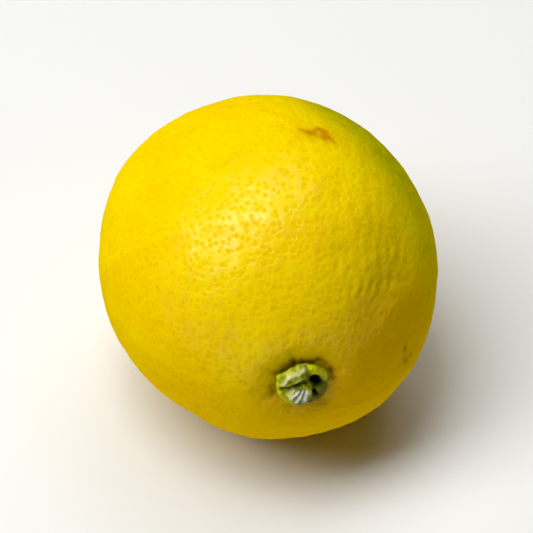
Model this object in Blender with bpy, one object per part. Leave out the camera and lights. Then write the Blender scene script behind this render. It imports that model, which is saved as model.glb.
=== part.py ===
"""A whole lemon lying on its side as it lies at rest: the peel body of the fruit and its green stem button.

All named sizes are in millimetres and degrees, and the meshes are written in metres with +Z up. The fruit is worked
out first in its own frame: origin in the middle of the equator, +Y along the axis from the stem end to the blossom
end, +X to the right for someone who looks at the stem end, and +Z up. A place on the peel is named by two angles:
polar, from the stem end (0) to the blossom end (180), and around, from +X (0) through +Z (90). The last step tilts
the fruit to the angle at which it balances and lowers it onto its flat rest spot.
"""

import math

import bmesh
import bpy
import numpy as np

MM = 0.001
COLLECTION = "lemon"

# The body: two half ellipsoids that meet at the equator.
EQUATOR_RADIUS = 31.0
STEM_HALF = 31.5
BLOSSOM_HALF = 34.0

# The shallow dimple that the stem button sits in, and the short creases that run out from it.
DIMPLE_DEPTH = 2.5
DIMPLE_RADIUS = 6.9
DIMPLE_STEEPNESS = 3.0
CREASE_DEPTH = 0.28
CREASE_REACH = 10.5
CREASE_WIDTH_DEG = 7.0
CREASES_DEG = (12.0, 55.0, 104.0, 148.0, 203.0, 251.0, 304.0)

# The blunt nipple at the blossom end: its neck, its folds, the pit of the style scar and the furrow on one side.
NIPPLE_HEIGHT = 6.8
NIPPLE_RADIUS = 6.9
NIPPLE_STEEPNESS = 3.0
NECK_HEIGHT = 1.3
NECK_RADIUS = 12.5
NIPPLE_LEAN = 1.3
NIPPLE_LEAN_DEG = 35.0
FOLD_DEPTH = 0.35
FOLD_WIDTH_DEG = 11.0
FOLDS_DEG = (20.0, 118.0, 171.0, 262.0)
SCAR_PIT_DEPTH = 0.7
SCAR_PIT_RADIUS = 1.5
FURROW_DEPTH = 0.8
FURROW_RADIUS = 8.8
FURROW_WIDTH = 2.2
FURROW_SIDE_DEG = 215.0

# Swellings and flats of the peel, read from the outline and the shading of the photographed fruit:
# polar, around, height (negative for a flat), half-length, half-width, turn of the long side.
PATCHES = (
    (58.0, -158.0, -0.70, 14.0, 10.0, 0.0),
    (62.0, -135.0, -0.85, 11.0, 8.0, 0.0),
    (118.0, 148.0, 1.40, 12.0, 12.5, 0.0),
    (98.0, 179.0, 0.35, 9.0, 9.0, 0.0),
    (48.0, -50.0, 1.00, 10.0, 10.0, 0.0),
    (57.0, -25.0, 0.50, 8.0, 7.0, 0.0),
    (48.0, 53.0, 0.28, 5.5, 3.2, 30.0),
    (46.0, 25.0, 0.34, 6.5, 3.4, -20.0),
    (33.0, 34.0, -0.30, 5.0, 3.4, 10.0),
    (36.0, 4.0, 0.26, 5.5, 3.6, 60.0),
    (66.0, 38.0, -0.22, 7.0, 4.5, 15.0),
    (93.0, 72.0, -0.18, 5.0, 4.0, 0.0),
)

# The slight overall unevenness of a grown fruit: a few long waves across the peel, the same on every run.
WAVE_SEED = 41
WAVE_COUNT = 9
WAVE_HEIGHT = 0.16
WAVE_TURNS = (2.2, 4.6)

# Relief fades out between these polar angles from either end, where the dimple and the nipple take over.
FADE_POLAR_DEG = (16.0, 30.0)

# The stem button: a thick, uneven collar of calyx lobes around the broken end of the pedicel, which has slumped
# towards the lower side. The slant is the rise of the broken end for each millimetre to the right and upwards.
SEAT_GAP = 0.35
STUB_OFFSET = (-0.7, -1.25)
STUB_SLANT = (-0.12, -0.20)
STUB_OVAL = 0.08
STUB_OVAL_DEG = 25.0
# From the middle of the broken end out over the collar to the rim, and back under to the middle:
# share of the stub offset, radius, height over the floor of the dimple.
BUTTON_PROFILE = (
    (1.00, 0.00, 3.55),
    (1.00, 1.05, 3.54),
    (1.00, 1.72, 3.44),
    (1.00, 2.02, 3.12),
    (1.00, 1.96, 2.68),
    (1.00, 2.12, 2.20),
    (0.80, 2.70, 1.95),
    (0.58, 3.28, 2.00),
    (0.32, 3.93, 2.05),
    (0.08, 4.55, 2.00),
    (0.00, 4.82, 1.70),
    (0.00, 4.88, 1.25),
    (0.00, 4.45, 0.75),
    (0.00, 3.20, SEAT_GAP),
    (0.00, 1.60, SEAT_GAP),
    (0.00, 0.00, SEAT_GAP),
)
# Where along that profile, from 0 to 1, the collar begins and where its top side ends.
COLLAR_BEGINS = (0.32, 0.42)
COLLAR_ENDS = (0.68, 0.80)
# The lobes of the rim: direction, how much further they reach (negative for a notch), half-width in degrees.
RIM_REACH = (
    (149.0, 0.62, 8.0),
    (123.0, -0.25, 27.0),
    (74.0, -0.30, 8.0),
    (50.0, -0.05, 14.0),
    (20.0, 0.12, 16.0),
    (348.0, -0.30, 9.0),
    (314.0, 0.20, 26.0),
    (272.0, -0.25, 12.0),
    (222.0, -0.30, 26.0),
    (182.0, -0.20, 9.0),
)
# The lobes, folds and hollows of the collar, each along a short line: from x, z to x, z, height (negative for a
# groove or the deep hollow beside the stub), half-width. The steepness is the exponent of their bells.
COLLAR_STEEPNESS = 2.6
COLLAR_FORMS = (
    (-2.7, 1.6, -0.7, 2.8, 0.85, 1.20),
    (-3.9, 1.5, -2.6, 3.2, 0.24, 0.42),
    (-2.6, 3.2, 0.2, 4.1, 0.24, 0.42),
    (-1.3, 1.9, -0.7, 2.2, 0.14, 0.40),
    (-4.1, -0.9, -2.9, -3.1, 0.35, 0.60),
    (3.6, -0.8, 2.9, -2.9, 0.35, 0.85),
    (1.7, 3.9, 3.9, 1.9, 0.35, 0.65),
    (2.2, 1.1, 2.5, 0.1, -1.45, 0.98),
    (1.3, 0.2, 0.6, -0.3, -0.70, 0.50),
    (1.5, -1.1, 2.3, -2.4, -0.80, 0.46),
    (-3.8, 0.1, -1.0, 0.6, -0.70, 0.46),
    (0.8, 4.4, 1.0, 2.4, -0.40, 0.40),
    (4.6, -0.3, 3.6, 0.0, -0.30, 0.40),
)

# How the fruit rests: stem end raised to the angle of balance, and a small flat spot under the centre of mass.
REST_TILT_DEG = 6.0
REST_SINK = 0.80
REST_BLEND = 0.12

# Mesh density: segments around and rings from end to end.
FRUIT_SEGMENTS = 80
FRUIT_RINGS = 62
BUTTON_SEGMENTS = 46
BUTTON_RINGS = 34
RING_CROWDING = 0.25


def fade(low, high, value):
    """A smooth step from 0 at low to 1 at high."""
    share = np.clip((value - low) / (high - low), 0.0, 1.0)
    return share * share * (3.0 - 2.0 * share)


def angle_from(centre_deg, around):
    """The signed angle from a named direction, in degrees between -180 and 180."""
    return (np.degrees(around) - centre_deg + 180.0) % 360.0 - 180.0


def direction_of(polar, around):
    """The unit vector that points from the middle of the fruit to a place on the peel."""
    return np.stack(
        [
            np.sin(polar) * np.cos(around),
            -np.cos(polar),
            np.sin(polar) * np.sin(around),
        ],
        axis=-1,
    )


def patch_height(direction, patch):
    """One swelling or flat: an elongated bell on the peel, zero on the far side of the fruit."""
    polar_deg, around_deg, height, half_length, half_width, turn_deg = patch
    polar = math.radians(polar_deg)
    around = math.radians(around_deg)
    centre = direction_of(polar, around)
    along = np.array(
        [
            math.cos(polar) * math.cos(around),
            math.sin(polar),
            math.cos(polar) * math.sin(around),
        ]
    )
    across = np.cross(centre, along)
    turn = math.radians(turn_deg)
    long_side = math.cos(turn) * along + math.sin(turn) * across
    short_side = math.cos(turn) * across - math.sin(turn) * along
    length = EQUATOR_RADIUS * (direction @ long_side) / half_length
    width = EQUATOR_RADIUS * (direction @ short_side) / half_width
    facing = direction @ centre > 0.0
    return np.where(facing, height * np.exp(-(length**2) - width**2), 0.0)


def wave_height(direction):
    """The sum of a few long cosine waves that run across the fruit in random directions."""
    draw = np.random.default_rng(WAVE_SEED)
    total = np.zeros(direction.shape[:-1])
    for _ in range(WAVE_COUNT):
        heading = draw.normal(size=3)
        heading /= np.linalg.norm(heading)
        turns = draw.uniform(*WAVE_TURNS)
        phase = draw.uniform(0.0, 2.0 * math.pi)
        total += np.cos(turns * (direction @ heading) + phase)
    return total * WAVE_HEIGHT / math.sqrt(WAVE_COUNT)


def relief_height(polar, around):
    """All the swellings, flats and waves of the peel, faded out at the two ends."""
    direction = direction_of(polar, around)
    total = wave_height(direction)
    for patch in PATCHES:
        total += patch_height(direction, patch)
    low, high = (math.radians(value) for value in FADE_POLAR_DEG)
    return total * fade(low, high, polar) * fade(low, high, math.pi - polar)


def crease_height(radius, around):
    """Shallow creases that run out from the stem button, deepest next to it."""
    pattern = np.zeros(np.broadcast(radius, around).shape)
    for number, crease_deg in enumerate(CREASES_DEG):
        strength = 1.0 if number % 2 == 0 else 0.65
        pattern += strength * np.exp(
            -((angle_from(crease_deg, around) / CREASE_WIDTH_DEG) ** 2)
        )
    reach = fade(1.5, 4.5, radius) * (1.0 - fade(5.0, CREASE_REACH, radius))
    return CREASE_DEPTH * pattern * reach


def seat_along(radius, around):
    """Where the peel lies along the axis at the stem end, for a given distance from the axis."""
    share = np.clip(radius / EQUATOR_RADIUS, 0.0, 1.0)
    body = -STEM_HALF * np.sqrt(1.0 - share**2)
    dimple = DIMPLE_DEPTH * np.exp(-((radius / DIMPLE_RADIUS) ** DIMPLE_STEEPNESS))
    return body + dimple + crease_height(radius, around)


def nipple_height(radius, around):
    """How far the nipple stands off the blossom end: a blunt bell on a low neck, less its folds, pit and furrow."""
    bell = NIPPLE_HEIGHT * np.exp(-((radius / NIPPLE_RADIUS) ** NIPPLE_STEEPNESS))
    neck = NECK_HEIGHT * np.exp(-((radius / NECK_RADIUS) ** 2))
    side = 0.5 + 0.5 * np.cos(np.radians(angle_from(FURROW_SIDE_DEG, around)))
    furrow = FURROW_DEPTH * np.exp(-(((radius - FURROW_RADIUS) / FURROW_WIDTH) ** 2)) * side**1.5
    folds = np.zeros(np.broadcast(radius, around).shape)
    for fold_deg in FOLDS_DEG:
        folds += np.exp(-((angle_from(fold_deg, around) / FOLD_WIDTH_DEG) ** 2))
    folds *= FOLD_DEPTH * fade(0.8, 3.2, radius) * (1.0 - fade(5.2, 7.6, radius))
    pit = SCAR_PIT_DEPTH * np.exp(-((radius / SCAR_PIT_RADIUS) ** 2))
    return bell + neck - furrow - folds - pit


def fruit_surface(polar, around):
    """The peel in the fruit's own frame, for arrays of the two angles."""
    radius = EQUATOR_RADIUS * np.sin(polar)
    stem_side = polar < 0.5 * math.pi
    stem_end = seat_along(radius, around)
    nipple = nipple_height(radius, around)
    blossom_end = -BLOSSOM_HALF * np.cos(polar) + nipple
    along = np.where(stem_side, stem_end, blossom_end)
    lean = np.where(stem_side, 0.0, NIPPLE_LEAN * np.clip(nipple / NIPPLE_HEIGHT, 0.0, 1.0) ** 1.5)
    lean_angle = math.radians(NIPPLE_LEAN_DEG)
    points = np.stack(
        [
            radius * np.cos(around) + lean * math.cos(lean_angle),
            along,
            radius * np.sin(around) + lean * math.sin(lean_angle),
        ],
        axis=-1,
    )
    swell = relief_height(polar, around)
    return points + swell[..., None] * direction_of(polar, around)


def smooth_between(stations, place):
    """Reads a table of rows at a place along it, from 0 at the first row to 1 at the last, on a smooth curve."""
    rows = np.asarray(stations)
    last = len(rows) - 1
    position = np.clip(place, 0.0, 1.0) * last
    start = np.minimum(position.astype(int), last - 1)
    share = (position - start)[..., None]
    before = rows[np.maximum(start - 1, 0)]
    here = rows[start]
    there = rows[start + 1]
    after = rows[np.minimum(start + 2, last)]
    return 0.5 * (
        2.0 * here
        + (there - before) * share
        + (2.0 * before - 5.0 * here + 4.0 * there - after) * share**2
        + (3.0 * here - before - 3.0 * there + after) * share**3
    )


def around_sum(bells, around):
    """The sum of bells in the angle around: direction, size and half-width of each."""
    return sum(
        size * np.exp(-((angle_from(at_deg, around) / half_width) ** 2))
        for at_deg, size, half_width in bells
    )


def collar_relief(across, upright):
    """The sum of the lobes, folds and hollows at a place on the collar, each a bell in the distance from its line."""
    total = np.zeros(np.broadcast(across, upright).shape)
    for from_x, from_z, to_x, to_z, height, half_width in COLLAR_FORMS:
        run_x = to_x - from_x
        run_z = to_z - from_z
        share = ((across - from_x) * run_x + (upright - from_z) * run_z) / (run_x**2 + run_z**2)
        share = np.clip(share, 0.0, 1.0)
        distance = np.hypot(across - from_x - share * run_x, upright - from_z - share * run_z)
        total += height * np.exp(-((distance / half_width) ** COLLAR_STEEPNESS))
    return total


def button_surface(place, around):
    """The stem button in the fruit's own frame: its profile, with the stub, rim and collar made uneven."""
    profile = smooth_between(BUTTON_PROFILE, place)
    stub_share = np.clip(profile[..., 0], 0.0, 1.0)
    radius = np.maximum(profile[..., 1], 0.0)
    height = profile[..., 2]
    oval = STUB_OVAL * np.cos(2.0 * (around - math.radians(STUB_OVAL_DEG)))
    radius = radius * (1.0 + oval * stub_share)
    radius = radius + around_sum(RIM_REACH, around) * fade(3.3, 4.7, radius)
    across = radius * np.cos(around) + stub_share * STUB_OFFSET[0]
    upright = radius * np.sin(around) + stub_share * STUB_OFFSET[1]
    slant = STUB_SLANT[0] * (across - STUB_OFFSET[0]) + STUB_SLANT[1] * (upright - STUB_OFFSET[1])
    height = height + slant * stub_share * fade(2.6, 3.6, height)
    distance = np.hypot(across, upright)
    collar = fade(*COLLAR_BEGINS, place) * (1.0 - fade(*COLLAR_ENDS, place))
    height = height + collar_relief(across, upright) * collar
    floor = seat_along(np.zeros_like(radius), around)
    lowest = seat_along(distance, around) - SEAT_GAP
    along = np.minimum(floor - height, lowest)
    return np.stack([across, along, upright], axis=-1)


def settle(points):
    """Tilts the stem end up, then lowers the fruit onto its rest spot with a soft edge around the flat."""
    tilt = math.radians(REST_TILT_DEG)
    across = points[..., 0]
    along = points[..., 1] * math.cos(tilt) + points[..., 2] * math.sin(tilt)
    height = points[..., 2] * math.cos(tilt) - points[..., 1] * math.sin(tilt)
    height = height + rest_height()
    soft = (height + REST_BLEND) ** 2 / (4.0 * REST_BLEND)
    height = np.where(height > REST_BLEND, height, np.where(height > -REST_BLEND, soft, 0.0))
    return np.stack([across, along, height], axis=-1)


def rest_height():
    """How high the middle of the fruit lies over the table, from the lowest place of the tilted peel."""
    tilt = math.radians(REST_TILT_DEG)
    polar, around = np.meshgrid(
        np.radians(np.linspace(60.0, 120.0, 121)),
        np.radians(np.linspace(-120.0, -60.0, 121)),
    )
    points = fruit_surface(polar, around)
    height = points[..., 2] * math.cos(tilt) - points[..., 1] * math.sin(tilt)
    return -height.min() - REST_SINK


def shaped_ball(name, segments, rings, place_vertices, colour, roughness):
    """A ball whose vertices are moved by a shape function of the two angles, as a smooth named object."""
    mesh = bpy.data.meshes.new(name)
    work = bmesh.new()
    bmesh.ops.create_uvsphere(work, u_segments=segments, v_segments=rings, radius=1.0)
    start = np.array([vertex.co[:] for vertex in work.verts])
    polar = np.arccos(np.clip(start[:, 2], -1.0, 1.0))
    around = np.arctan2(start[:, 1], start[:, 0])
    for vertex, point in zip(work.verts, place_vertices(polar, around)):
        vertex.co = [value * MM for value in point]
    bmesh.ops.triangulate(work, faces=work.faces[:])
    bmesh.ops.recalc_face_normals(work, faces=work.faces[:])
    for face in work.faces:
        face.smooth = True
    work.to_mesh(mesh)
    work.free()
    material = bpy.data.materials.new(name)
    material.use_nodes = True
    shader = material.node_tree.nodes["Principled BSDF"]
    shader.inputs["Base Color"].default_value = (*colour, 1.0)
    shader.inputs["Roughness"].default_value = roughness
    mesh.materials.append(material)
    made = bpy.data.objects.new(name, mesh)
    bpy.data.collections[COLLECTION].objects.link(made)
    return made


def place_fruit(polar, around):
    """Peel vertices, with the rings crowded towards the dimple and the nipple."""
    crowded = polar - RING_CROWDING * np.sin(2.0 * polar)
    return settle(fruit_surface(crowded, around))


def place_button(polar, around):
    """Stem button vertices, from the cut end at the first pole to the underside at the second."""
    return settle(button_surface(polar / math.pi, around))


def centre_over_origin(objects):
    """Moves every vertex so that the whole object's box stands centred over the origin."""
    corners = np.array([vertex.co[:] for item in objects for vertex in item.data.vertices])
    middle = 0.5 * (corners.min(axis=0) + corners.max(axis=0))
    for item in objects:
        for vertex in item.data.vertices:
            vertex.co.x -= middle[0]
            vertex.co.y -= middle[1]


def main():
    for old in list(bpy.data.objects):
        bpy.data.objects.remove(old, do_unlink=True)
    collection = bpy.data.collections.new(COLLECTION)
    bpy.context.scene.collection.children.link(collection)
    fruit = shaped_ball(
        "fruit", FRUIT_SEGMENTS, FRUIT_RINGS, place_fruit, (0.87, 0.61, 0.01), 0.38
    )
    button = shaped_ball(
        "stem_button", BUTTON_SEGMENTS, BUTTON_RINGS, place_button, (0.24, 0.27, 0.04), 0.6
    )
    centre_over_origin([fruit, button])


main()
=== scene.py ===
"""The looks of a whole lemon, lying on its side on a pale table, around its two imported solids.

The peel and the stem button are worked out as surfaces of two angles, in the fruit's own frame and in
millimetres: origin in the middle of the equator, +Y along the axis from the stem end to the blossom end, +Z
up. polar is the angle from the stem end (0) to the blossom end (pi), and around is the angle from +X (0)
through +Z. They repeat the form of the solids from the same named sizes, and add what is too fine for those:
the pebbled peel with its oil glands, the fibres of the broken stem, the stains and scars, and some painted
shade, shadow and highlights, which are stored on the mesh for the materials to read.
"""

import math

import bpy
import numpy as np
from mathutils import Matrix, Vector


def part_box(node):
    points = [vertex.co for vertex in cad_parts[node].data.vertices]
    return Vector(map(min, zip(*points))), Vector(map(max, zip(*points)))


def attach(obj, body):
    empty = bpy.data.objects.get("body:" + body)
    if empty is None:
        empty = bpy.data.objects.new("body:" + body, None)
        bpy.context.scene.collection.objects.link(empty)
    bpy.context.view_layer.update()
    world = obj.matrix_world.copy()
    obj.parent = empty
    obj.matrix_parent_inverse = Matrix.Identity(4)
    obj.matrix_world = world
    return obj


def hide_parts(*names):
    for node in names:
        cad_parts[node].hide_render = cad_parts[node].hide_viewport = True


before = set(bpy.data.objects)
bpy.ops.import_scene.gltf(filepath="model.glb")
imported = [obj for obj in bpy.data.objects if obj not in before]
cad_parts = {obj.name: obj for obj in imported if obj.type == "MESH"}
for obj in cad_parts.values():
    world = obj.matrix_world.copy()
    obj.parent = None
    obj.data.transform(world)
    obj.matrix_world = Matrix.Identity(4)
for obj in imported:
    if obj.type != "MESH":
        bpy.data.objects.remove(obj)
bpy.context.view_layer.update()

MM = 0.001
MM_PER_METRE = 1000.0

# The body: two half ellipsoids that meet at the equator.
EQUATOR_RADIUS = 31.0
STEM_HALF = 31.5
BLOSSOM_HALF = 34.0

# The shallow dimple that the stem button sits in, and the short creases that run out from it. They deepen
# between two radii and fade from a third to their reach, and every other one is shallower.
DIMPLE_DEPTH = 2.5
DIMPLE_RADIUS = 6.9
DIMPLE_STEEPNESS = 3.0
CREASE_DEPTH = 0.28
CREASE_DEEPENS = (1.5, 4.5)
CREASE_FULL_TO = 5.0
CREASE_REACH = 10.5
CREASE_SHALLOWER = 0.65
CREASE_WIDTH_DEG = 7.0
CREASES_DEG = (12.0, 55.0, 104.0, 148.0, 203.0, 251.0, 304.0)

# The blunt nipple at the blossom end: its neck, its lean, its folds, which deepen and fade between radii, the
# pit of the style scar, and the furrow on one side.
NIPPLE_HEIGHT = 6.8
NIPPLE_RADIUS = 6.9
NIPPLE_STEEPNESS = 3.0
NECK_HEIGHT = 1.3
NECK_RADIUS = 12.5
NIPPLE_LEAN = 1.3
NIPPLE_LEAN_DEG = 35.0
LEAN_STEEPNESS = 1.5
FOLD_DEPTH = 0.35
FOLD_DEEPENS = (0.8, 3.2)
FOLD_FADES = (5.2, 7.6)
FOLD_WIDTH_DEG = 11.0
FOLDS_DEG = (20.0, 118.0, 171.0, 262.0)
SCAR_PIT_DEPTH = 0.7
SCAR_PIT_RADIUS = 1.5
FURROW_DEPTH = 0.8
FURROW_RADIUS = 8.8
FURROW_WIDTH = 2.2
FURROW_SIDE_DEG = 215.0
FURROW_STEEPNESS = 1.5

# Swellings and flats of the peel: polar, around, height (negative for a flat), half-length, half-width, turn.
PATCHES = (
    (58.0, -158.0, -0.70, 14.0, 10.0, 0.0),
    (62.0, -135.0, -0.85, 11.0, 8.0, 0.0),
    (118.0, 148.0, 1.40, 12.0, 12.5, 0.0),
    (98.0, 179.0, 0.35, 9.0, 9.0, 0.0),
    (48.0, -50.0, 1.00, 10.0, 10.0, 0.0),
    (57.0, -25.0, 0.50, 8.0, 7.0, 0.0),
    (48.0, 53.0, 0.28, 5.5, 3.2, 30.0),
    (46.0, 25.0, 0.34, 6.5, 3.4, -20.0),
    (33.0, 34.0, -0.30, 5.0, 3.4, 10.0),
    (36.0, 4.0, 0.26, 5.5, 3.6, 60.0),
    (66.0, 38.0, -0.22, 7.0, 4.5, 15.0),
    (93.0, 72.0, -0.18, 5.0, 4.0, 0.0),
)

# The slight overall unevenness of a grown fruit, the same draw as in the solids.
WAVE_SEED = 41
WAVE_COUNT = 9
WAVE_HEIGHT = 0.16
WAVE_TURNS = (2.2, 4.6)
FADE_POLAR_DEG = (16.0, 30.0)

# How the fruit rests: stem end raised, and a small flat spot under the centre of mass. Its lowest place is
# looked for between two angles from the stem end, and as far to each side of straight down.
REST_TILT_DEG = 6.0
REST_SINK = 0.80
REST_BLEND = 0.12
REST_SEARCH_DEG = (60.0, 120.0)
REST_SEARCH_STEPS = 121

# The relief of the peel, in mm: long soft lumps, pebbling, and the sunken oil glands. A gland sinks where its
# waves rise over a level, up to a most. The relief starts between two radii, beside the stem button.
LUMP_LENGTH = 8.0
LUMP_HEIGHT = 0.045
LUMP_SEED = 11
PEBBLE_LENGTH = 3.1
PEBBLE_HEIGHT = 0.024
PEBBLE_SEED = 12
GLAND_LENGTH = 1.45
GLAND_DEPTH = 0.022
GLAND_LEVEL = 0.25
GLAND_MOST = 1.6
GLAND_SEED = 13
GRAIN_WAVES = 56
RELIEF_STARTS = (5.6, 7.5)
# The wrinkled patch above the stem button: ridges that run out from the stem, longer than wide.
WRINKLE_PLACE = (50.0, 46.0, 1.0, 9.5, 9.0, 0.0)
WRINKLE_LENGTH = 2.2
WRINKLE_STRETCH = 1.5
WRINKLE_HEIGHT = 0.052
WRINKLE_SEED = 15

# Marks on the peel, each a soft elongated spot: polar, around, strength, half-length, half-width, turn.
GREEN_STAINS = (
    (116.0, 56.0, 0.85, 8.0, 6.5, 40.0),
    (100.0, 43.0, 0.85, 11.0, 8.5, 42.0),
    (82.0, 28.0, 0.55, 11.0, 8.5, 36.0),
    (70.0, 8.0, 0.25, 9.0, 8.0, 10.0),
    (50.0, 48.0, 0.32, 8.5, 8.0, 0.0),
    (176.0, 30.0, 0.95, 6.5, 6.0, 0.0),
)
# Deeper, warmer yellow: the first three spots, below the stem end, right of it and on the underside, are
# painted shade; the last is at the upper left.
DEEPER_YELLOW_AND_SHADE = (
    (30.0, -100.0, 0.6, 26.0, 34.0, 0.0),
    (37.0, 10.0, 0.9, 13.0, 14.0, 0.0),
    (90.0, -90.0, 0.45, 30.0, 30.0, 0.0),
    (100.0, 118.0, 0.40, 14.0, 20.0, 0.0),
)
FLECKS = (
    (41.0, -4.8, 0.75, 0.50, 0.95, 10.0),
    (42.7, -14.3, 0.60, 0.45, 1.10, 35.0),
    (45.5, -13.0, 0.45, 0.40, 0.70, 0.0),
    (130.0, 205.0, 0.9, 0.5, 0.5, 0.0),
    (104.0, 250.0, 0.8, 0.6, 0.4, 20.0),
    (141.0, 330.0, 0.8, 0.5, 0.4, 0.0),
)
# Brown on the peel beside the stem button, stains and painted shadow: from x, z to x, z, strength,
# half-width.
SEAT_STAINS_AND_SHADOW = (
    (5.7, -0.6, 5.2, 2.3, 0.75, 0.55),
    (4.5, 3.5, 3.0, 4.9, 0.60, 0.50),
    (-5.6, -0.2, -5.2, -2.5, 0.55, 0.55),
    (-3.6, 4.2, -1.6, 5.3, 0.35, 0.50),
)
# The brown of the peel, in mm and strength: a faint ring in the dimple, partly dried skin and partly painted
# shade, painted shade in the creases, and the pit of the style scar.
DRY_AND_SHADE_RING_RADIUS = 5.6
DRY_AND_SHADE_RING_WIDTH = 1.2
DRY_AND_SHADE_RING = 0.12
CREASE_SHADE = 0.20
DRY_PIT_RADIUS = 1.3
DRY_PIT = 0.8
# The rubbed scar: its middle, and its strokes in mm from there, towards the blossom end and around the fruit:
# from, to, strength, half-width.
SCAR_POLAR_DEG = 94.2
SCAR_AROUND_DEG = 71.6
SCAR_STROKES = (
    (1.2, 2.8, 0.2, 1.2, 0.60, 0.40),
    (0.2, 1.2, 1.8, -0.6, 0.50, 0.42),
    (1.8, -0.6, 1.1, -2.0, 0.55, 0.42),
    (2.1, -1.5, -2.0, -1.3, 0.55, 0.40),
    (-0.3, -2.2, -1.9, -3.2, 0.45, 0.42),
    (-0.6, -0.6, -0.6, -1.8, 0.45, 0.45),
    (0.3, 1.6, 0.2, -2.2, 0.42, 1.40),
    (0.2, 0.6, -0.6, -2.2, 0.22, 3.20),
)

# The stem button: a thick, uneven collar of calyx lobes around the broken end of the pedicel, which has
# slumped towards the lower side. The slant is the rise of the broken end for each millimetre to the right and
# upwards, and it grows between two heights. The solids keep the first gap to the peel, and the scene closes
# it to the second.
SEAT_GAP = 0.35
SEEN_GAP = 0.04
STUB_OFFSET = (-0.7, -1.25)
STUB_SLANT = (-0.12, -0.20)
SLANT_GROWS = (2.6, 3.6)
STUB_OVAL = 0.08
STUB_OVAL_DEG = 25.0
# From the middle of the broken end out over the collar to the rim, and back under to the middle:
# share of the stub offset, radius, height over the floor of the dimple.
BUTTON_PROFILE = (
    (1.00, 0.00, 3.55),
    (1.00, 1.05, 3.54),
    (1.00, 1.72, 3.44),
    (1.00, 2.02, 3.12),
    (1.00, 1.96, 2.68),
    (1.00, 2.12, 2.20),
    (0.80, 2.70, 1.95),
    (0.58, 3.28, 2.00),
    (0.32, 3.93, 2.05),
    (0.08, 4.55, 2.00),
    (0.00, 4.82, 1.70),
    (0.00, 4.88, 1.25),
    (0.00, 4.45, 0.75),
    (0.00, 3.20, SEAT_GAP),
    (0.00, 1.60, SEAT_GAP),
    (0.00, 0.00, SEAT_GAP),
)
# Where along that profile, from 0 to 1, the collar begins and where its top side ends.
COLLAR_BEGINS = (0.32, 0.42)
COLLAR_ENDS = (0.68, 0.80)
# Where along it the broken end stops, the colours of the top side end, the grain of the skin stops, and the
# underside begins.
BROKEN_END_TO = 0.3
TOP_ENDS = (0.72, 0.80)
GRAIN_TO = 0.8
UNDERSIDE_FROM = 0.84
# The lobes of the rim, which grow between two radii: direction, how much further they reach (negative for a
# notch), half-width in degrees.
RIM_GROWS = (3.3, 4.7)
RIM_REACH = (
    (149.0, 0.62, 8.0),
    (123.0, -0.25, 27.0),
    (74.0, -0.30, 8.0),
    (50.0, -0.05, 14.0),
    (20.0, 0.12, 16.0),
    (348.0, -0.30, 9.0),
    (314.0, 0.20, 26.0),
    (272.0, -0.25, 12.0),
    (222.0, -0.30, 26.0),
    (182.0, -0.20, 9.0),
)
# The lobes, folds and hollows of the collar, each along a short line: from x, z to x, z, height (negative for
# a groove or the deep hollow beside the stub), half-width. The steepness is the exponent of their bells.
COLLAR_STEEPNESS = 2.6
COLLAR_FORMS = (
    (-2.7, 1.6, -0.7, 2.8, 0.85, 1.20),
    (-3.9, 1.5, -2.6, 3.2, 0.24, 0.42),
    (-2.6, 3.2, 0.2, 4.1, 0.24, 0.42),
    (-1.3, 1.9, -0.7, 2.2, 0.14, 0.40),
    (-4.1, -0.9, -2.9, -3.1, 0.35, 0.60),
    (3.6, -0.8, 2.9, -2.9, 0.35, 0.85),
    (1.7, 3.9, 3.9, 1.9, 0.35, 0.65),
    (2.2, 1.1, 2.5, 0.1, -1.45, 0.98),
    (1.3, 0.2, 0.6, -0.3, -0.70, 0.50),
    (1.5, -1.1, 2.3, -2.4, -0.80, 0.46),
    (-3.8, 0.1, -1.0, 0.6, -0.70, 0.46),
    (0.8, 4.4, 1.0, 2.4, -0.40, 0.40),
    (4.6, -0.3, 3.6, 0.0, -0.30, 0.40),
)

# The pale torn fibres on the broken end, measured from its middle: from x, z to x, z, strength, half-width.
FIBRES = (
    (-1.8, -0.1, -1.4, 0.5, 0.8, 0.24),
    (-1.4, 0.5, -0.4, 1.2, 1.0, 0.26),
    (-0.9, -0.8, -0.2, 0.1, 1.0, 0.28),
    (-0.2, 0.1, 0.5, 1.3, 0.9, 0.22),
    (0.7, -0.5, 1.2, 0.5, 0.9, 0.36),
    (1.2, 0.5, 1.3, 1.7, 1.0, 0.26),
    (1.4, 0.5, 1.9, 0.8, 0.8, 0.24),
    (0.5, -1.2, 0.9, -0.8, 0.5, 0.26),
)
FIBRE_STEEPNESS = 2.0
FIBRE_HEIGHT = 0.20
# The broken end stops between two radii. The grain, a length and a height, makes the button's skin uneven.
CUT_EDGE = (1.55, 2.0)
BUTTON_GRAIN = 1.1
BUTTON_GRAIN_HEIGHT = 0.04
BUTTON_GRAIN_SEED = 14

# Colour zones of the collar: from x, z to x, z, strength, half-width.
# Pale cream along the crests of the lobes, partly their dried edge and partly a painted highlight.
PALE_EDGES_AND_HIGHLIGHTS = (
    (-3.9, 1.5, -2.6, 3.2, 0.9, 0.28),
    (-2.6, 3.2, 0.2, 4.2, 0.9, 0.36),
    (0.2, 4.2, 0.6, 3.6, 0.6, 0.30),
    (-1.3, 2.0, -0.7, 2.3, 0.8, 0.34),
    (-3.0, -1.5, -1.9, 0.1, 0.8, 0.26),
)
FRESH_GREEN = (
    (-4.4, 0.2, -2.6, -3.4, 1.0, 0.80),
    (-5.4, 2.2, -4.2, 1.2, 0.9, 0.60),
    (1.4, 4.2, 4.2, 2.0, 0.7, 0.60),
    (-2.6, 1.0, -1.2, 1.6, 0.4, 0.70),
)
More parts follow.
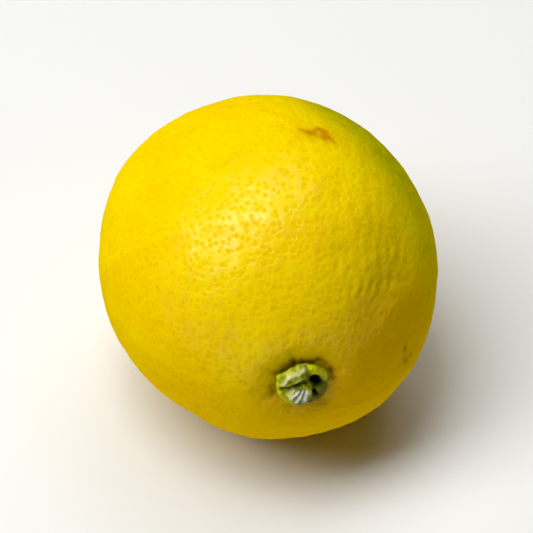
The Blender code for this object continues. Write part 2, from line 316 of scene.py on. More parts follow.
# Dull olive: painted shade on the lower right lobe, which faces away from the light, and in the fold at the
# left; elsewhere small olive patches.
OLIVE_AND_PAINTED_SHADE = (
    (3.8, -0.8, 2.6, -3.2, 1.0, 1.30),
    (-3.6, 0.2, -1.0, 0.7, 0.8, 0.46),
    (-2.9, 2.5, -2.7, 2.3, 0.8, 0.40),
    (-1.0, -4.0, 0.9, -4.0, 0.7, 0.70),
    (0.6, 2.4, 1.0, 1.6, 0.6, 0.60),
)
# Near black painted shadow in the deep hollow beside the stub, on the stub's shaded wall and in two grooves.
PAINTED_SHADOW_HOLLOWS = (
    (2.2, 1.1, 2.5, 0.1, 1.6, 0.98),
    (1.5, 0.4, 0.0, 0.9, 1.3, 0.42),
    (1.4, -1.0, 2.3, -2.4, 1.4, 0.44),
    (-3.6, 0.3, -3.2, 0.3, 0.6, 0.34),
)

# The patterns in the materials, in mm: the spacing of the peel's oil glands and of its smaller pores, the
# size of its colour clouds, its mottling and its waxy grain, and the size of the stem button's blotches and
# of its fibre grain.
GLAND_SPACING = 1.15
PORE_SPACING = 0.72
CLOUD_SIZE = 16.0
MOTTLE_SIZE = 2.6
WAX_GRAIN_SIZE = 0.45
BLOTCH_SIZE = 0.9
FIBRE_GRAIN_SIZE = 0.28
# The height of their relief, in mm, and how far light spreads inside the peel.
RIDGE_HEIGHT = 0.045
PORE_HEIGHT = 0.02
WAX_GRAIN_HEIGHT = 0.015
BLOTCH_HEIGHT = 0.12
FIBRE_GRAIN_HEIGHT = 0.05
PEEL_SCATTER = 1.2

# The sockets of a Mix node that mixes colours: the share, the colour under, the colour over, and the result.
MIX_SHARE = 0
MIX_UNDER = 6
MIX_OVER = 7
MIX_RESULT = 2

# Mesh density: segments around and rings from end to end, and those of the smooth form whose box is measured.
PEEL_SEGMENTS = 440
PEEL_RINGS = 226
BUTTON_SEGMENTS = 220
BUTTON_RINGS = 180
BOX_SEGMENTS = 240
BOX_RINGS = 180

# The photograph's viewing angle and the framing, with the place that the camera looks at, and half the side
# of the table, in metres.
CAMERA_AZIMUTH_DEG = -11.0
CAMERA_ELEVATION_DEG = 49.0
CAMERA_DISTANCE = 0.62
CAMERA_LENS = 225.0
CAMERA_SENSOR = 36.0
VIEW_MIDDLE = (0.0, -0.002, 0.0285)
TABLE_HALF = 3.0

# The studio light: a long soft panel that arches up on the left, and two weaker ones over the top and at the
# back right, each with its direction, its width and length, and the brightness that it alone would give a
# white surface that faces it.
LIGHT_DISTANCE = 1.15
LIGHT_COLOUR = "ffffff"
SOFT_LIGHTS = (
    ("key_panel", (-0.46, -0.06, 0.88), 0.5, 1.2, 1.02),
    ("top_panel", (-0.15, 0.12, 0.97), 0.6, 0.6, 0.18),
    ("back_panel", (0.26, 0.42, 0.87), 0.7, 0.7, 0.26),
)
WORLD_STRENGTH = 0.02


def fade(low, high, value):
    """A smooth step from 0 at low to 1 at high: share^2 * (3 - 2 * share)."""
    share = np.clip((value - low) / (high - low), 0.0, 1.0)
    return share * share * (3.0 - 2.0 * share)


def angle_from(centre_deg, around):
    """The signed angle from a named direction, in degrees between -180 and 180."""
    return (np.degrees(around) - centre_deg + 180.0) % 360.0 - 180.0


def direction_of(polar, around):
    """The unit vector (sin p cos a, -cos p, sin p sin a) from the fruit's middle to a place on the peel."""
    return np.stack(
        [
            np.sin(polar) * np.cos(around),
            -np.cos(polar),
            np.sin(polar) * np.sin(around),
        ],
        axis=-1,
    )


def spot(direction, place):
    """A long bell, strength * exp(-(length / half-length)^2 - (width / half-width)^2), on one side only."""
    polar_deg, around_deg, strength, half_length, half_width, turn_deg = place
    polar = math.radians(polar_deg)
    around = math.radians(around_deg)
    centre = direction_of(polar, around)
    along = np.array(
        [
            math.cos(polar) * math.cos(around),
            math.sin(polar),
            math.cos(polar) * math.sin(around),
        ]
    )
    across = np.cross(centre, along)
    turn = math.radians(turn_deg)
    long_side = math.cos(turn) * along + math.sin(turn) * across
    short_side = math.cos(turn) * across - math.sin(turn) * along
    length = EQUATOR_RADIUS * (direction @ long_side) / half_length
    width = EQUATOR_RADIUS * (direction @ short_side) / half_width
    facing = direction @ centre > 0.0
    return np.where(facing, strength * np.exp(-(length**2) - width**2), 0.0)


def spots(direction, places):
    """The sum of several spots, kept at 1 or less."""
    return np.minimum(sum(spot(direction, place) for place in places), 1.0)


def wave_height(direction):
    """The sum of a few long cosine waves that run across the fruit in random directions."""
    draw = np.random.default_rng(WAVE_SEED)
    total = np.zeros(direction.shape[:-1])
    for _ in range(WAVE_COUNT):
        heading = draw.normal(size=3)
        heading /= np.linalg.norm(heading)
        turns = draw.uniform(*WAVE_TURNS)
        phase = draw.uniform(0.0, 2.0 * math.pi)
        total += np.cos(turns * (direction @ heading) + phase)
    return total * WAVE_HEIGHT / math.sqrt(WAVE_COUNT)


def relief_height(polar, around):
    """All the swellings, flats and long waves of the peel, faded out at the two ends."""
    direction = direction_of(polar, around)
    total = wave_height(direction)
    for patch in PATCHES:
        total += spot(direction, patch)
    low, high = (math.radians(value) for value in FADE_POLAR_DEG)
    return total * fade(low, high, polar) * fade(low, high, math.pi - polar)


def crease_height(radius, around):
    """Shallow creases that run out from the stem button, each a narrow bell in the angle around."""
    pattern = np.zeros(np.broadcast(radius, around).shape)
    for number, crease_deg in enumerate(CREASES_DEG):
        strength = 1.0 if number % 2 == 0 else CREASE_SHALLOWER
        pattern += strength * np.exp(-((angle_from(crease_deg, around) / CREASE_WIDTH_DEG) ** 2))
    reach = fade(*CREASE_DEEPENS, radius) * (1.0 - fade(CREASE_FULL_TO, CREASE_REACH, radius))
    return CREASE_DEPTH * pattern * reach


def seat_along(radius, around):
    """The peel's place along the axis at the stem end: an ellipse, plus the dimple's bell and the creases."""
    share = np.clip(radius / EQUATOR_RADIUS, 0.0, 1.0)
    body = -STEM_HALF * np.sqrt(1.0 - share**2)
    dimple = DIMPLE_DEPTH * np.exp(-((radius / DIMPLE_RADIUS) ** DIMPLE_STEEPNESS))
    return body + dimple + crease_height(radius, around)


def nipple_height(radius, around):
    """How far the nipple stands off the blossom end: a bell on a low neck, less its folds, pit and furrow."""
    bell = NIPPLE_HEIGHT * np.exp(-((radius / NIPPLE_RADIUS) ** NIPPLE_STEEPNESS))
    neck = NECK_HEIGHT * np.exp(-((radius / NECK_RADIUS) ** 2))
    side = 0.5 + 0.5 * np.cos(np.radians(angle_from(FURROW_SIDE_DEG, around)))
    furrow = np.exp(-(((radius - FURROW_RADIUS) / FURROW_WIDTH) ** 2))
    furrow *= FURROW_DEPTH * side**FURROW_STEEPNESS
    folds = np.zeros(np.broadcast(radius, around).shape)
    for fold_deg in FOLDS_DEG:
        folds += np.exp(-((angle_from(fold_deg, around) / FOLD_WIDTH_DEG) ** 2))
    folds *= FOLD_DEPTH * fade(*FOLD_DEEPENS, radius) * (1.0 - fade(*FOLD_FADES, radius))
    pit = SCAR_PIT_DEPTH * np.exp(-((radius / SCAR_PIT_RADIUS) ** 2))
    return bell + neck - furrow - folds - pit


def fruit_surface(polar, around):
    """The smooth form of the peel: (R sin p cos a, along, R sin p sin a), moved out by the relief."""
    radius = EQUATOR_RADIUS * np.sin(polar)
    stem_side = polar < 0.5 * math.pi
    nipple = nipple_height(radius, around)
    blossom_end = -BLOSSOM_HALF * np.cos(polar) + nipple
    along = np.where(stem_side, seat_along(radius, around), blossom_end)
    rise = np.clip(nipple / NIPPLE_HEIGHT, 0.0, 1.0) ** LEAN_STEEPNESS
    lean = np.where(stem_side, 0.0, NIPPLE_LEAN * rise)
    lean_angle = math.radians(NIPPLE_LEAN_DEG)
    points = np.stack(
        [
            radius * np.cos(around) + lean * math.cos(lean_angle),
            along,
            radius * np.sin(around) + lean * math.sin(lean_angle),
        ],
        axis=-1,
    )
    swell = relief_height(polar, around)
    return points + swell[..., None] * direction_of(polar, around)


def waves_of_length(direction, length, seed):
    """Even grain of one size: equal cosine waves of one length in random directions, with a spread of 1."""
    draw = np.random.default_rng(seed)
    headings = draw.normal(size=(GRAIN_WAVES, 3))
    headings /= np.linalg.norm(headings, axis=1)[:, None]
    phases = draw.uniform(0.0, 2.0 * math.pi, GRAIN_WAVES)
    turns = 2.0 * math.pi * EQUATOR_RADIUS / length
    total = np.zeros(direction.shape[:-1])
    for heading, phase in zip(headings, phases):
        total += np.cos(turns * (direction @ heading) + phase)
    return total * math.sqrt(2.0 / GRAIN_WAVES)


def outward(points):
    """Unit normals of a closed grid of points, from the slopes along its rings and around its segments."""
    along_rings = np.gradient(points, axis=0)
    around_ring = np.roll(points, -1, axis=1) - np.roll(points, 1, axis=1)
    normal = np.cross(along_rings, around_ring)
    normal[0] = (0.0, -1.0, 0.0)
    normal[-1] = (0.0, 1.0, 0.0)
    return normal / np.maximum(np.linalg.norm(normal, axis=-1, keepdims=True), 1e-12)


def settle(points):
    """Tilts the stem end up and lowers the fruit onto its flat rest spot.

    A height h within the blend b of the table becomes (h + b)^2 / (4 * b), which rounds the edge of the flat.
    """
    tilt = math.radians(REST_TILT_DEG)
    across = points[..., 0]
    along = points[..., 1] * math.cos(tilt) + points[..., 2] * math.sin(tilt)
    height = points[..., 2] * math.cos(tilt) - points[..., 1] * math.sin(tilt)
    height = height + rest_height()
    soft = (height + REST_BLEND) ** 2 / (4.0 * REST_BLEND)
    height = np.where(height > REST_BLEND, height, np.where(height > -REST_BLEND, soft, 0.0))
    return np.stack([across, along, height], axis=-1)


def rest_height():
    """How high the fruit's middle lies over the table, from the lowest place of the tilted smooth peel."""
    tilt = math.radians(REST_TILT_DEG)
    polar, around = np.meshgrid(
        np.radians(np.linspace(*REST_SEARCH_DEG, REST_SEARCH_STEPS)),
        np.radians(np.linspace(-REST_SEARCH_DEG[1], -REST_SEARCH_DEG[0], REST_SEARCH_STEPS)),
    )
    points = fruit_surface(polar, around)
    height = points[..., 2] * math.cos(tilt) - points[..., 1] * math.sin(tilt)
    return -height.min() - REST_SINK


def smooth_between(stations, place):
    """Reads a table of rows at a place from 0, its first row, to 1, its last.

    Between two rows the curve is a cubic, whose slope at each row is half the step between its neighbours.
    """
    rows = np.asarray(stations)
    last = len(rows) - 1
    position = np.clip(place, 0.0, 1.0) * last
    start = np.minimum(position.astype(int), last - 1)
    share = (position - start)[..., None]
    before = rows[np.maximum(start - 1, 0)]
    here = rows[start]
    there = rows[start + 1]
    after = rows[np.minimum(start + 2, last)]
    return 0.5 * (
        2.0 * here
        + (there - before) * share
        + (2.0 * before - 5.0 * here + 4.0 * there - after) * share**2
        + (3.0 * here - before - 3.0 * there + after) * share**3
    )


def closed_grid(rings, segments):
    """The two angles on a grid whose first and last rows are the poles."""
    polar = np.linspace(0.0, math.pi, rings + 1)[:, None]
    around = np.linspace(0.0, 2.0 * math.pi, segments, endpoint=False)[None, :]
    return np.broadcast_arrays(polar, around)


def poles_joined(values):
    """Flattens grid values to one per vertex, with each pole row averaged into a single vertex."""
    first = values[0].mean(axis=0, keepdims=True)
    last = values[-1].mean(axis=0, keepdims=True)
    inner = values[1:-1].reshape(-1, *values.shape[2:])
    return np.concatenate([first, inner, last])


def grid_faces(rings, segments):
    """Quads between neighbouring rings, and a fan of triangles at each pole, all facing outwards."""
    column = np.arange(segments)
    following = (column + 1) % segments
    start = 1 + segments * np.arange(rings - 2)[:, None]
    quads = np.stack(
        [start + column, start + segments + column, start + segments + following, start + following],
        axis=-1,
    ).reshape(-1, 4)
    last = 1 + segments * (rings - 1)
    first_fan = np.stack([np.zeros_like(column), 1 + column, 1 + following], axis=-1)
    last_row = last - segments
    last_fan = np.stack([last_row + column, np.full_like(column, last), last_row + following], axis=-1)
    return quads.tolist() + first_fan.tolist() + last_fan.tolist()


def surface_piece(name, points, rings, segments, marks, material):
    """A closed smooth mesh from a grid of points in millimetres, with named marks stored on its vertices."""
    mesh = bpy.data.meshes.new(name)
    mesh.from_pydata(poles_joined(points) * MM, [], grid_faces(rings, segments))
    mesh.polygons.foreach_set("use_smooth", np.ones(len(mesh.polygons), dtype=bool))
    for mark, values in marks.items():
        layer = mesh.attributes.new(mark, "FLOAT", "POINT")
        layer.data.foreach_set("value", poles_joined(values).astype(np.float32))
    mesh.materials.append(material)
    made = bpy.data.objects.new(name, mesh)
    bpy.context.scene.collection.objects.link(made)
    return made


def srgb(code, alpha=1.0):
    """A hex colour such as "f5d000" as the linear values that shaders take."""
    values = [int(code[start : start + 2], 16) / 255.0 for start in (0, 2, 4)]
    linear = [v / 12.92 if v <= 0.04045 else ((v + 0.055) / 1.055) ** 2.4 for v in values]
    return (*linear, alpha)


def add(tree, kind, inputs=None, **settings):
    """Adds a node, with its settings, and its inputs given as values or as the sockets that feed them."""
    made = tree.nodes.new(kind)
    for key, value in settings.items():
        setattr(made, key, value)
    for key, value in (inputs or {}).items():
        if isinstance(value, bpy.types.NodeSocket):
            tree.links.new(value, made.inputs[key])
        else:
            made.inputs[key].default_value = value
    return made


def new_material(name):
    """An empty material and its node tree."""
    material = bpy.data.materials.new(name)
    material.use_nodes = True
    material.node_tree.nodes.clear()
    return material, material.node_tree


def peel_material():
    """Waxy lemon peel: saturated yellow, dotted with oil glands, and a soft sheen that is a pale net."""
    material, tree = new_material("waxy_lemon_peel")
    place = add(tree, "ShaderNodeTexCoord").outputs["Object"]
    green, deeper, scar, dry_and_shade, fleck = (
        add(tree, "ShaderNodeAttribute", attribute_name=mark).outputs["Fac"]
        for mark in ("green", "deeper", "scar", "dry_and_shade", "fleck")
    )

    # The oil glands and the smaller pores are distances from scattered middles. The broad clouds, the
    # mottling and the waxy grain are noise, with a number of finer steps each.
    gland, pore = (
        add(
            tree,
            "ShaderNodeTexVoronoi",
            {"Vector": place, "Scale": MM_PER_METRE / spacing, "Randomness": scatter},
            feature="F1",
        ).outputs["Distance"]
        for spacing, scatter in ((GLAND_SPACING, 0.8), (PORE_SPACING, 1.0))
    )
    cloud, mottle, waxy_grain = (
        add(
            tree, "ShaderNodeTexNoise", {"Vector": place, "Scale": MM_PER_METRE / size, "Detail": steps}
        ).outputs["Fac"]
        for size, steps in ((CLOUD_SIZE, 3.0), (MOTTLE_SIZE, 4.0), (WAX_GRAIN_SIZE, 3.0))
    )

    # A gland is a round pit with a deeper dot of colour, in a net of low ridges. The warmth of the yellow
    # follows the broad clouds, and the freckles follow the mottling.
    ridge = add(
        tree,
        "ShaderNodeMapRange",
        {"Value": gland, "From Min": 0.26, "From Max": 0.62},
        interpolation_type="SMOOTHSTEP",
    ).outputs["Result"]
    dot = add(
        tree,
        "ShaderNodeMapRange",
        {"Value": gland, "From Min": 0.16, "From Max": 0.44, "To Min": 0.31, "To Max": 0.0},
        interpolation_type="SMOOTHSTEP",
    ).outputs["Result"]
    warm = add(
        tree,
        "ShaderNodeMapRange",
        {"Value": cloud, "From Min": 0.35, "From Max": 0.70},
        interpolation_type="SMOOTHSTEP",
    ).outputs["Result"]
    freckle = add(
        tree,
        "ShaderNodeMapRange",
        {"Value": mottle, "From Min": 0.50, "From Max": 0.74, "To Max": 0.35},
        interpolation_type="SMOOTHSTEP",
    ).outputs["Result"]
    # The unripe green along one side and on the nipple is broken up where it fades out.
    patchy = add(
        tree,
        "ShaderNodeMapRange",
        {"Value": mottle, "From Min": 0.25, "From Max": 0.65, "To Min": 1.15, "To Max": 0.75},
    ).outputs["Result"]
    stain = add(
        tree, "ShaderNodeMath", {0: green, 1: patchy}, operation="MULTIPLY", use_clamp=True
    ).outputs["Value"]

    # Clear yellow under layers of colour, each as strong as its mark: warmer in broad clouds; deeper and
    # warmer on the underside and beside the stem end, which is painted shade, and at the upper left; deeper
    # in the freckles and glands; the unripe green; the orange brown of the rubbed scar; a brown, partly
    # painted shade; brown flecks.
    colour = srgb("f9dc00")
    for share, code in (
        (warm, "f5d000"),
        (deeper, "e6b600"),
        (freckle, "e6b600"),
        (dot, "d8a800"),
        (stain, "b0ae00"),
        (scar, "c48a00"),
        (dry_and_shade, "8a5f04"),
        (fleck, "4a3206"),
    ):
        layer = {MIX_SHARE: share, MIX_UNDER: colour, MIX_OVER: srgb(code)}
        colour = add(tree, "ShaderNodeMix", layer, data_type="RGBA").outputs[MIX_RESULT]

    # Relief in mm: the ridges between the glands, plus the pores, plus the waxy grain.
    relief = add(tree, "ShaderNodeMath", {0: ridge, 1: RIDGE_HEIGHT}, operation="MULTIPLY").outputs["Value"]
    for pattern, height in ((pore, PORE_HEIGHT), (waxy_grain, WAX_GRAIN_HEIGHT)):
        step = {0: pattern, 1: height, 2: relief}
        relief = add(tree, "ShaderNodeMath", step, operation="MULTIPLY_ADD").outputs["Value"]
    bump = add(tree, "ShaderNodeBump", {"Strength": 1.0, "Distance": MM, "Height": relief}).outputs["Normal"]

    # The waxy ridges shine and the glands hardly do, so the sheen is a pale net around yellow dots. It is
    # patchy, and it fades where the peel turns away, which keeps the rim a clear yellow.
    patch = add(
        tree,
        "ShaderNodeMapRange",
        {"Value": mottle, "From Min": 0.38, "From Max": 0.62, "To Min": 0.30, "To Max": 1.0},
        interpolation_type="SMOOTHSTEP",
    ).outputs["Result"]
    wax = add(tree, "ShaderNodeMapRange", {"Value": ridge, "To Min": 0.03, "To Max": patch}).outputs["Result"]
    turned = add(tree, "ShaderNodeLayerWeight", {"Blend": 0.5}).outputs["Facing"]
    facing = add(
        tree,
        "ShaderNodeMapRange",
        {"Value": turned, "From Min": 0.08, "From Max": 0.33, "To Min": 1.0, "To Max": 0.0},
        interpolation_type="SMOOTHSTEP",
    ).outputs["Result"]
    sheen = add(tree, "ShaderNodeMath", {0: wax, 1: facing}, operation="MULTIPLY").outputs["Value"]
    shader = add(
        tree,
        "ShaderNodeBsdfPrincipled",
        {
            "Base Color": colour,
            "Roughness": 0.30,
            "Normal": bump,
            "IOR": 1.36,
            "Specular IOR Level": sheen,
            "Specular Tint": srgb("fff5c8"),
            "Subsurface Weight": 0.15,
            "Subsurface Radius": (1.0, 0.62, 0.05),
            "Subsurface Scale": PEEL_SCATTER * MM,
        },
    ).outputs["BSDF"]
    add(tree, "ShaderNodeOutputMaterial", {"Surface": shader})
    return material


def button_material():
    """Green woody calyx: mottled lobes, crests partly a painted highlight, painted shadow in hollows, a pale
    torn break.
    """
    material, tree = new_material("green_woody_calyx")
    place = add(tree, "ShaderNodeTexCoord").outputs["Object"]
    olive, fresh, pale, cut, fibre, painted_shadow = (
        add(tree, "ShaderNodeAttribute", attribute_name=mark).outputs["Fac"]
        for mark in ("olive", "fresh", "pale", "cut", "fibre", "painted_shadow")
    )
    mottle, grain = (
        add(
            tree, "ShaderNodeTexNoise", {"Vector": place, "Scale": MM_PER_METRE / size, "Detail": steps}
        ).outputs["Fac"]
        for size, steps in ((BLOTCH_SIZE, 4.0), (FIBRE_GRAIN_SIZE, 3.0))
    )
    blotch = add(
        tree,
        "ShaderNodeMapRange",
        {"Value": mottle, "From Min": 0.36, "From Max": 0.64},
        interpolation_type="SMOOTHSTEP",
    ).outputs["Result"]
    torn = add(
        tree, "ShaderNodeMapRange", {"Value": grain, "From Min": 0.30, "From Max": 0.60, "To Min": 0.45}
    ).outputs["Result"]
    strand = add(tree, "ShaderNodeMath", {0: fibre, 1: torn}, operation="MULTIPLY").outputs["Value"]

    # The broken end: olive pith with pale torn fibres.
    core = srgb("6c7020")
    for share, code in ((blotch, "a4a660"), (strand, "fdfdf2")):
        layer = {MIX_SHARE: share, MIX_UNDER: core, MIX_OVER: srgb(code)}
        core = add(tree, "ShaderNodeMix", layer, data_type="RGBA").outputs[MIX_RESULT]

    # Green under layers of colour: mottled, fresh on the rim, a dull olive that is partly painted shade, pale
    # cream along the crests that is partly a painted highlight, then the broken end, and a near black of
    # painted shadow.
    colour = srgb("7e8800")
    for share, over in (
        (blotch, srgb("b8bc00")),
        (fresh, srgb("cbcb00")),
        (olive, srgb("626400")),
        (pale, srgb("e2e09a")),
        (cut, core),
        (painted_shadow, srgb("0b0a04")),
    ):
        layer = {MIX_SHARE: share, MIX_UNDER: colour, MIX_OVER: over}
        colour = add(tree, "ShaderNodeMix", layer, data_type="RGBA").outputs[MIX_RESULT]

    # Relief in mm: the blotches, plus the fibre grain.
    relief = add(tree, "ShaderNodeMath", {0: mottle, 1: BLOTCH_HEIGHT}, operation="MULTIPLY").outputs["Value"]
    step = {0: grain, 1: FIBRE_GRAIN_HEIGHT, 2: relief}
    relief = add(tree, "ShaderNodeMath", step, operation="MULTIPLY_ADD").outputs["Value"]
    bump = add(tree, "ShaderNodeBump", {"Strength": 1.0, "Distance": MM, "Height": relief}).outputs["Normal"]
    shader = add(
        tree,
        "ShaderNodeBsdfPrincipled",
        {"Base Color": colour, "Roughness": 0.6, "Normal": bump, "Specular IOR Level": 0.12},
    ).outputs["BSDF"]
    add(tree, "ShaderNodeOutputMaterial", {"Surface": shader})
    return material


def table_material():
    """Pale matt laminate table top."""
    material, tree = new_material("pale_matt_table")
    shader = add(
        tree, "ShaderNodeBsdfPrincipled", {"Base Color": srgb("ececea"), "Roughness": 0.75}
    ).outputs["BSDF"]
    add(tree, "ShaderNodeOutputMaterial", {"Surface": shader})
    return material


def wrinkles(polar, around):
    """Ridges that run out from the stem: equal cosine waves over the unrolled peel, stretched lengthwise."""
    draw = np.random.default_rng(WRINKLE_SEED)
    along = EQUATOR_RADIUS * polar / WRINKLE_STRETCH
    across = EQUATOR_RADIUS * math.sin(math.radians(WRINKLE_PLACE[0])) * around
    total = np.zeros(polar.shape)
    for _ in range(GRAIN_WAVES):
        heading = draw.uniform(0.0, 2.0 * math.pi)
        phase = draw.uniform(0.0, 2.0 * math.pi)
        run = along * math.cos(heading) + across * math.sin(heading)
        total += np.cos(2.0 * math.pi * run / WRINKLE_LENGTH + phase)
    return total * math.sqrt(2.0 / GRAIN_WAVES)


def scar_strength(polar, around):
    """The strokes of the scar, on the peel unrolled around the scar's middle."""
    along = EQUATOR_RADIUS * (polar - math.radians(SCAR_POLAR_DEG))
    across = EQUATOR_RADIUS * np.radians(angle_from(SCAR_AROUND_DEG, around))
    return np.clip(lines_sum(along, across, SCAR_STROKES), 0.0, 1.0)


def peel_points():
    """The smooth peel moved outwards by lumps, pebbles and ridges less gland pits, and the marks on it."""
    polar, around = closed_grid(PEEL_RINGS, PEEL_SEGMENTS)
    direction = direction_of(polar, around)
    smooth = fruit_surface(polar, around)
    radius = EQUATOR_RADIUS * np.sin(polar)
    stem_side = (polar < 0.5 * math.pi).astype(float)
    lumps = waves_of_length(direction, LUMP_LENGTH, LUMP_SEED) * LUMP_HEIGHT
    pebbles = waves_of_length(direction, PEBBLE_LENGTH, PEBBLE_SEED) * PEBBLE_HEIGHT
    gland_waves = waves_of_length(direction, GLAND_LENGTH, GLAND_SEED)
    pits = np.clip(gland_waves - GLAND_LEVEL, 0.0, GLAND_MOST) * GLAND_DEPTH
    ridges = wrinkles(polar, around) * WRINKLE_HEIGHT * spot(direction, WRINKLE_PLACE)
    beyond_button = np.where(stem_side > 0.0, fade(*RELIEF_STARTS, radius), 1.0)
    grain = (lumps + pebbles - pits + ridges) * beyond_button
    points = smooth + grain[..., None] * outward(smooth)

    # The brown of the ring in the dimple is partly painted shade, and in the creases it is painted shade.
    ring = np.exp(-(((radius - DRY_AND_SHADE_RING_RADIUS) / DRY_AND_SHADE_RING_WIDTH) ** 2)) * stem_side
    creases = crease_height(radius, around) / CREASE_DEPTH * stem_side
    pit = np.exp(-((radius / DRY_PIT_RADIUS) ** 2)) * (1.0 - stem_side)
    # Beside the stem button the brown is partly stains and partly the button's painted shadow.
    beside = lines_sum(radius * np.cos(around), radius * np.sin(around), SEAT_STAINS_AND_SHADOW) * stem_side
    dry_and_shade = DRY_AND_SHADE_RING * ring + CREASE_SHADE * creases + DRY_PIT * pit + beside
    marks = {
        "green": spots(direction, GREEN_STAINS),
        # Deeper yellow, mostly painted shade on the shaded sides.
        "deeper": spots(direction, DEEPER_YELLOW_AND_SHADE),
        "scar": scar_strength(polar, around),
        "fleck": spots(direction, FLECKS),
        "dry_and_shade": np.clip(dry_and_shade, 0.0, 1.0),
    }
    return points, marks


def around_sum(bells, around):
    """The sum of bells in the angle around: direction, size and half-width of each."""
    return sum(
        size * np.exp(-((angle_from(at_deg, around) / half_width) ** 2))
        for at_deg, size, half_width in bells
    )


def lines_sum(across, upright, lines, steepness=2.0):
    """The sum of bells, size * exp(-(distance / half-width)^steepness), in the distance from short lines."""
    total = np.zeros(np.broadcast(across, upright).shape)
    for from_x, from_z, to_x, to_z, size, half_width in lines:
        run_x = to_x - from_x
        run_z = to_z - from_z
        share = ((across - from_x) * run_x + (upright - from_z) * run_z) / (run_x**2 + run_z**2)
        share = np.clip(share, 0.0, 1.0)
        distance = np.hypot(across - from_x - share * run_x, upright - from_z - share * run_z)
        total += size * np.exp(-((distance / half_width) ** steepness))
    return total


def button_points():
    """The stem button in the fruit's own frame, with its fibres, and the marks for its material."""
    polar, around = closed_grid(BUTTON_RINGS, BUTTON_SEGMENTS)
    place = polar / math.pi
    profile = smooth_between(BUTTON_PROFILE, place)
    stub_share = np.clip(profile[..., 0], 0.0, 1.0)
    radius = np.maximum(profile[..., 1], 0.0)
    height = profile[..., 2]
    oval = STUB_OVAL * np.cos(2.0 * (around - math.radians(STUB_OVAL_DEG)))
    radius = radius * (1.0 + oval * stub_share)
    radius = radius + around_sum(RIM_REACH, around) * fade(*RIM_GROWS, radius)
    local_x = radius * np.cos(around)
    local_z = radius * np.sin(around)
    across = local_x + stub_share * STUB_OFFSET[0]
    upright = local_z + stub_share * STUB_OFFSET[1]
    slant = STUB_SLANT[0] * (across - STUB_OFFSET[0]) + STUB_SLANT[1] * (upright - STUB_OFFSET[1])
    height = height + slant * stub_share * fade(*SLANT_GROWS, height)
    distance = np.hypot(across, upright)
    collar = fade(*COLLAR_BEGINS, place) * (1.0 - fade(*COLLAR_ENDS, place))
    height = height + lines_sum(across, upright, COLLAR_FORMS, COLLAR_STEEPNESS) * collar

    # The torn fibres stand up from the broken end, which is uneven too, and so is the skin of the collar.
    cut = (1.0 - fade(*CUT_EDGE, radius)) * (place < BROKEN_END_TO)
    fibre = np.clip(lines_sum(local_x, local_z, FIBRES, FIBRE_STEEPNESS), 0.0, 1.0)
    position = np.stack([across, height, upright], axis=-1)
    grain = waves_of_length(position / EQUATOR_RADIUS, BUTTON_GRAIN, BUTTON_GRAIN_SEED)
    height = height + FIBRE_HEIGHT * fibre * cut + BUTTON_GRAIN_HEIGHT * grain * (place < GRAIN_TO)
    floor = seat_along(np.zeros_like(radius), around)
    lowest = seat_along(distance, around) - SEEN_GAP
    seated = np.where(place > UNDERSIDE_FROM, height - (SEAT_GAP - SEEN_GAP), height)
    along = np.minimum(floor - seated, lowest)
    top = 1.0 - fade(*TOP_ENDS, place)
    marks = {
        "cut": cut,
        "fibre": fibre * cut,
        # Pale cream on the crests, partly a painted highlight.
        "pale": np.clip(lines_sum(across, upright, PALE_EDGES_AND_HIGHLIGHTS), 0.0, 1.0) * top,
        "fresh": np.clip(lines_sum(across, upright, FRESH_GREEN), 0.0, 1.0) * top,
        # Dull olive, partly painted shade.
        "olive": np.clip(lines_sum(across, upright, OLIVE_AND_PAINTED_SHADE), 0.0, 1.0),
        # Near black in the hollows and on the rim's underside is painted shadow.
        "painted_shadow": np.clip(lines_sum(across, upright, PAINTED_SHADOW_HOLLOWS) * collar + 1.0 - top, 0.0, 1.0),
    }
    return np.stack([across, along, upright], axis=-1), marks


def sideways_shift():
    """How far the settled form is moved along X and Y, so that its box stands where the CAD's does."""
    polar, around = closed_grid(BOX_RINGS, BOX_SEGMENTS)
    smooth = settle(fruit_surface(polar, around)).reshape(-1, 3)
    low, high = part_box("fruit")
    shift = [0.5 * (low[n] + high[n]) / MM - 0.5 * (smooth[:, n].min() + smooth[:, n].max()) for n in (0, 1)]
    return np.array([*shift, 0.0])


def look_direction(azimuth_deg, elevation_deg):
    """The unit vector from the object towards a camera, azimuth 0 on the -Y side."""
    azimuth = math.radians(azimuth_deg)
    elevation = math.radians(elevation_deg)
    return np.array(
        [
            math.sin(azimuth) * math.cos(elevation),
            -math.cos(azimuth) * math.cos(elevation),
            math.sin(elevation),
        ]
    )


def aimed(made, place, target):
    """Puts a camera or light at a place and turns its -Z axis to a target, with its own Y axis upwards."""
    back = np.array(place) - np.array(target)
    back /= np.linalg.norm(back)
    side = np.cross((0.0, 0.0, 1.0), back)
    side /= np.linalg.norm(side)
    top = np.cross(back, side)
    turn = Matrix(np.stack([side, top, back], axis=1).tolist())
    made.matrix_world = Matrix.Translation(place) @ turn.to_4x4()
    bpy.context.scene.collection.objects.link(made)
    return made


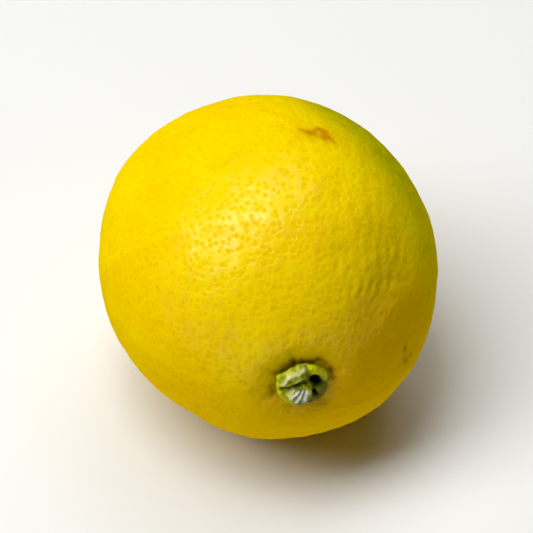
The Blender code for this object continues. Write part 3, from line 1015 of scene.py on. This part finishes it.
def soft_light(name, place, target, width, length, power, colour):
    """A studio panel light whose length lies in the upright plane through it and its target."""
    lamp = bpy.data.lights.new(name, "AREA")
    lamp.shape = "RECTANGLE"
    lamp.size = width
    lamp.size_y = length
    lamp.energy = power
    lamp.color = srgb(colour)[:3]
    return aimed(bpy.data.objects.new(name, lamp), place, target)


shift = sideways_shift()
points, marks = peel_points()
peel = surface_piece("peel", settle(points) + shift, PEEL_RINGS, PEEL_SEGMENTS, marks, peel_material())
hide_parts("fruit")
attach(peel, "root")

points, marks = button_points()
button = surface_piece(
    "stem_end", settle(points) + shift, BUTTON_RINGS, BUTTON_SEGMENTS, marks, button_material()
)
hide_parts("stem_button")
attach(button, "root")

table_mesh = bpy.data.meshes.new("table")
corners = [(TABLE_HALF * x, TABLE_HALF * y, 0.0) for x, y in ((-1, -1), (1, -1), (1, 1), (-1, 1))]
table_mesh.from_pydata(corners, [], [(0, 1, 2, 3)])
table_mesh.materials.append(table_material())
table = bpy.data.objects.new("table", table_mesh)
bpy.context.scene.collection.objects.link(table)

camera_data = bpy.data.cameras.new("camera")
camera_data.lens = CAMERA_LENS
camera_data.sensor_width = CAMERA_SENSOR
view = look_direction(CAMERA_AZIMUTH_DEG, CAMERA_ELEVATION_DEG)
camera_place = np.array(VIEW_MIDDLE) + CAMERA_DISTANCE * view
camera = aimed(bpy.data.objects.new("camera", camera_data), camera_place, VIEW_MIDDLE)
bpy.context.scene.camera = camera

# A panel of the power (pi * distance)^2 gives a white surface that faces it a brightness of 1.
for name, direction, width, length, weight in SOFT_LIGHTS:
    place = np.array(VIEW_MIDDLE) + LIGHT_DISTANCE * np.array(direction) / np.linalg.norm(direction)
    power = weight * (math.pi * LIGHT_DISTANCE) ** 2
    soft_light(name, place, VIEW_MIDDLE, width, length, power, LIGHT_COLOUR)

world = bpy.data.worlds.new("studio")
world.use_nodes = True
world.node_tree.nodes["Background"].inputs["Color"].default_value = srgb("f2f4f7")
world.node_tree.nodes["Background"].inputs["Strength"].default_value = WORLD_STRENGTH
bpy.context.scene.world = world
bpy.context.scene.view_settings.view_transform = "Standard"
